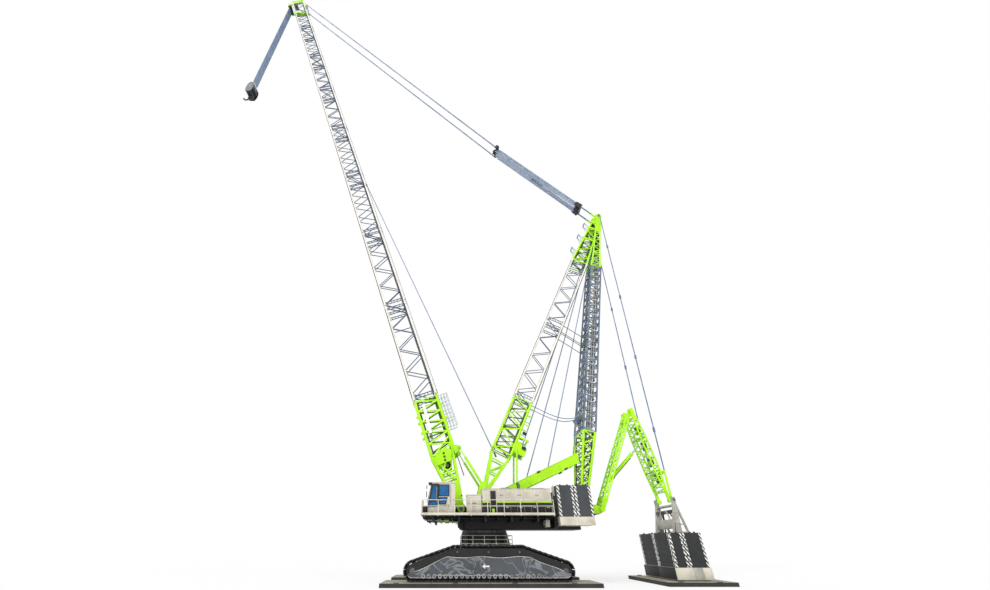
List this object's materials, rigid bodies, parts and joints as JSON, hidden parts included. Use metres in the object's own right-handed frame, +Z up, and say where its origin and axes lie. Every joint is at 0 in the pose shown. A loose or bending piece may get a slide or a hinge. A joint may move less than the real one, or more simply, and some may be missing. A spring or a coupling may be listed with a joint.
{
  "type": "1:10 scale model of a crawler crane",
  "caption": "Scale model of a crawler crane with a raked lattice boom, superlift mast, rear mast, body ballast and a hanging superlift ballast on ground mats.",
  "frame": {"origin": "on the slewing axis, at ground level under the mats", "axes": "+Z up along the slewing axis, -X ahead of the crane, where the boom leans, and -Y its left side, where the cab is"},
  "size_m": [6.6091, 1.14, 11.9303],
  "materials": {
    "lime_paint": "semi-gloss paint",
    "cream_paint": "satin paint",
    "lacing_paint": "satin paint",
    "beige_paint": "satin paint",
    "slate_paint": "matt paint",
    "black_steel": "matt paint",
    "mat_steel": "worn steel plate",
    "cover_sheet": "coated cover sheet",
    "rope_steel": "galvanised rope and bar",
    "track_steel": "dark cast shoes",
    "cab_glass": "tinted glass"
  },
  "bodies": {
    "carrier": {"left_track_mat": "mat_steel", "right_track_mat": "mat_steel", "left_track": "track_steel", "right_track": "track_steel", "left_track_frame": "cover_sheet", "right_track_frame": "cover_sheet", "ballast_mat": "mat_steel", "carbody": "black_steel"},
    "superstructure": {"main_frame": "black_steel", "left_deck": "slate_paint", "right_deck": "slate_paint", "cab": "beige_paint", "cabinet": "beige_paint", "left_machine_house": "beige_paint", "right_machine_house": "beige_paint", "engine": "black_steel", "left_ballast_tray": "beige_paint", "right_ballast_tray": "beige_paint", "left_body_ballast": "slate_paint", "right_body_ballast": "slate_paint", "backstop_frame": "lime_paint", "mast_base": "lime_paint", "mast_middle": "cream_paint", "mast_head": "lime_paint", "back_strut": "lime_paint", "rear_mast_base": "lime_paint", "rear_mast_middle": "cream_paint", "rear_mast_head": "lime_paint", "left_slack_cable": "black_steel", "right_slack_cable": "black_steel"},
    "cab_door": {"cab_door": "beige_paint"},
    "boom": {"boom_base": "lime_paint", "boom_lower": "cream_paint", "boom_upper": "cream_paint", "boom_head": "lime_paint"},
    "boom_stays": {"boom_pendants": "rope_steel", "floating_block": "black_steel"},
    "hook": {"hook_ropes": "rope_steel", "hook_block": "black_steel"},
    "backstop_barrels": {"left_backstop_barrel": "lime_paint", "right_backstop_barrel": "lime_paint"},
    "backstop_rods": {"left_backstop_rod": "rope_steel", "right_backstop_rod": "rope_steel"},
    "tackle": {"tackle_block": "black_steel"},
    "left_falls": {"left_falls": "rope_steel"},
    "right_falls": {"right_falls": "rope_steel"},
    "ballast_pendants": {"ballast_pendants": "rope_steel"},
    "superlift_ballast": {"ballast_hanger": "slate_paint", "ballast_slabs": "slate_paint"},
    "lower_link": {"lower_link": "lime_paint"},
    "upper_link": {"upper_link": "lime_paint"},
    "link_cylinder": {"link_cylinder": "lime_paint"},
    "link_rod": {"link_rod": "rope_steel"}
  },
  "joints": [
    {"name": "slew", "type": "hinge", "parent": "carrier", "child": "superstructure", "pos_m": [0, 0, 0.42], "axis": [0, 0, 1], "continuous": true},
    {"name": "cab_door_slide", "type": "slide", "parent": "superstructure", "child": "cab_door", "axis": [1, 0, 0], "range_m": [0, 0.075]},
    {"name": "boom_luff", "type": "hinge", "parent": "superstructure", "child": "boom", "pos_m": [-0.23, 0, 0.6], "axis": [0, 1, 0], "range_deg": [-33.4, 11.6]},
    {"name": "stays_swing", "type": "hinge", "parent": "boom", "child": "boom_stays", "pos_m": [-3.985, 0, 11.71], "axis": [0, -1, 0], "range_deg": [-4, 8]},
    {"name": "hook_swing", "type": "hinge", "parent": "boom", "child": "hook", "pos_m": [-4.40026, 0, 11.67053], "axis": [0, -1, 0], "range_deg": [-34, 12]},
    {"name": "backstop_swing", "type": "hinge", "parent": "superstructure", "child": "backstop_barrels", "pos_m": [-0.01, 0, 0.81], "axis": [0, -1, 0], "range_deg": [-15, 36]},
    {"name": "backstop_stroke", "type": "slide", "parent": "backstop_barrels", "child": "backstop_rods", "axis": [-0.5483, 0, 0.8363], "range_m": [-0.08, 0.19]},
    {"name": "tackle_swing", "type": "hinge", "parent": "superstructure", "child": "tackle", "pos_m": [1.9, 0, 4.53], "axis": [0, -1, 0], "range_deg": [-12, 28]},
    {"name": "left_falls_run", "type": "slide", "parent": "tackle", "child": "left_falls", "axis": [-0.663, 0, 0.7487], "range_m": [-0.33, 0.95]},
    {"name": "right_falls_run", "type": "slide", "parent": "tackle", "child": "right_falls", "axis": [-0.663, 0, 0.7487], "range_m": [-0.67, 1.9]},
    {"name": "ballast_swing", "type": "hinge", "parent": "superstructure", "child": "ballast_pendants", "pos_m": [1.9, 0, 4.53], "axis": [0, -1, 0], "range_deg": [0, 5.6]},
    {"name": "ballast_level", "type": "hinge", "parent": "ballast_pendants", "child": "superlift_ballast", "pos_m": [1.865, 0, 0.676], "axis": [0, -1, 0], "range_deg": [-6, 1]},
    {"name": "lower_link_swing", "type": "hinge", "parent": "superstructure", "child": "lower_link", "pos_m": [1.186, 0, 0.6], "axis": [0, 1, 0], "range_deg": [-1, 8.5]},
    {"name": "upper_link_fold", "type": "hinge", "parent": "lower_link", "child": "upper_link", "pos_m": [1.69, 0, 1.58], "axis": [0, -1, 0], "range_deg": [-1, 26]},
    {"name": "link_cylinder_swing", "type": "hinge", "parent": "lower_link", "child": "link_cylinder", "pos_m": [1.32, 0, 0.86], "axis": [0, -1, 0], "range_deg": [-5, 1]},
    {"name": "link_cylinder_stroke", "type": "slide", "parent": "link_cylinder", "child": "link_rod", "axis": [0.7539, 0, 0.657], "range_m": [-0.01, 0.16]}
  ],
  "couplings": [
    {"joint": "stays_swing", "follows": "boom_luff", "ratio": -0.18},
    {"joint": "hook_swing", "follows": "boom_luff", "ratio": 1},
    {"joint": "backstop_swing", "follows": "boom_luff", "ratio": -1},
    {"joint": "backstop_stroke", "follows": "boom_luff", "m_per_rad": -0.295},
    {"joint": "tackle_swing", "follows": "boom_luff", "ratio": -0.82},
    {"joint": "left_falls_run", "follows": "boom_luff", "m_per_rad": -1.58},
    {"joint": "right_falls_run", "follows": "boom_luff", "m_per_rad": -3.22},
    {"joint": "ballast_level", "follows": "ballast_swing", "ratio": -1},
    {"joint": "lower_link_swing", "follows": "ballast_swing", "ratio": 1.4},
    {"joint": "upper_link_fold", "follows": "ballast_swing", "ratio": 4.44},
    {"joint": "link_cylinder_swing", "follows": "ballast_swing", "ratio": -0.72},
    {"joint": "link_cylinder_stroke", "follows": "ballast_swing", "m_per_rad": 1.46}
  ]
}
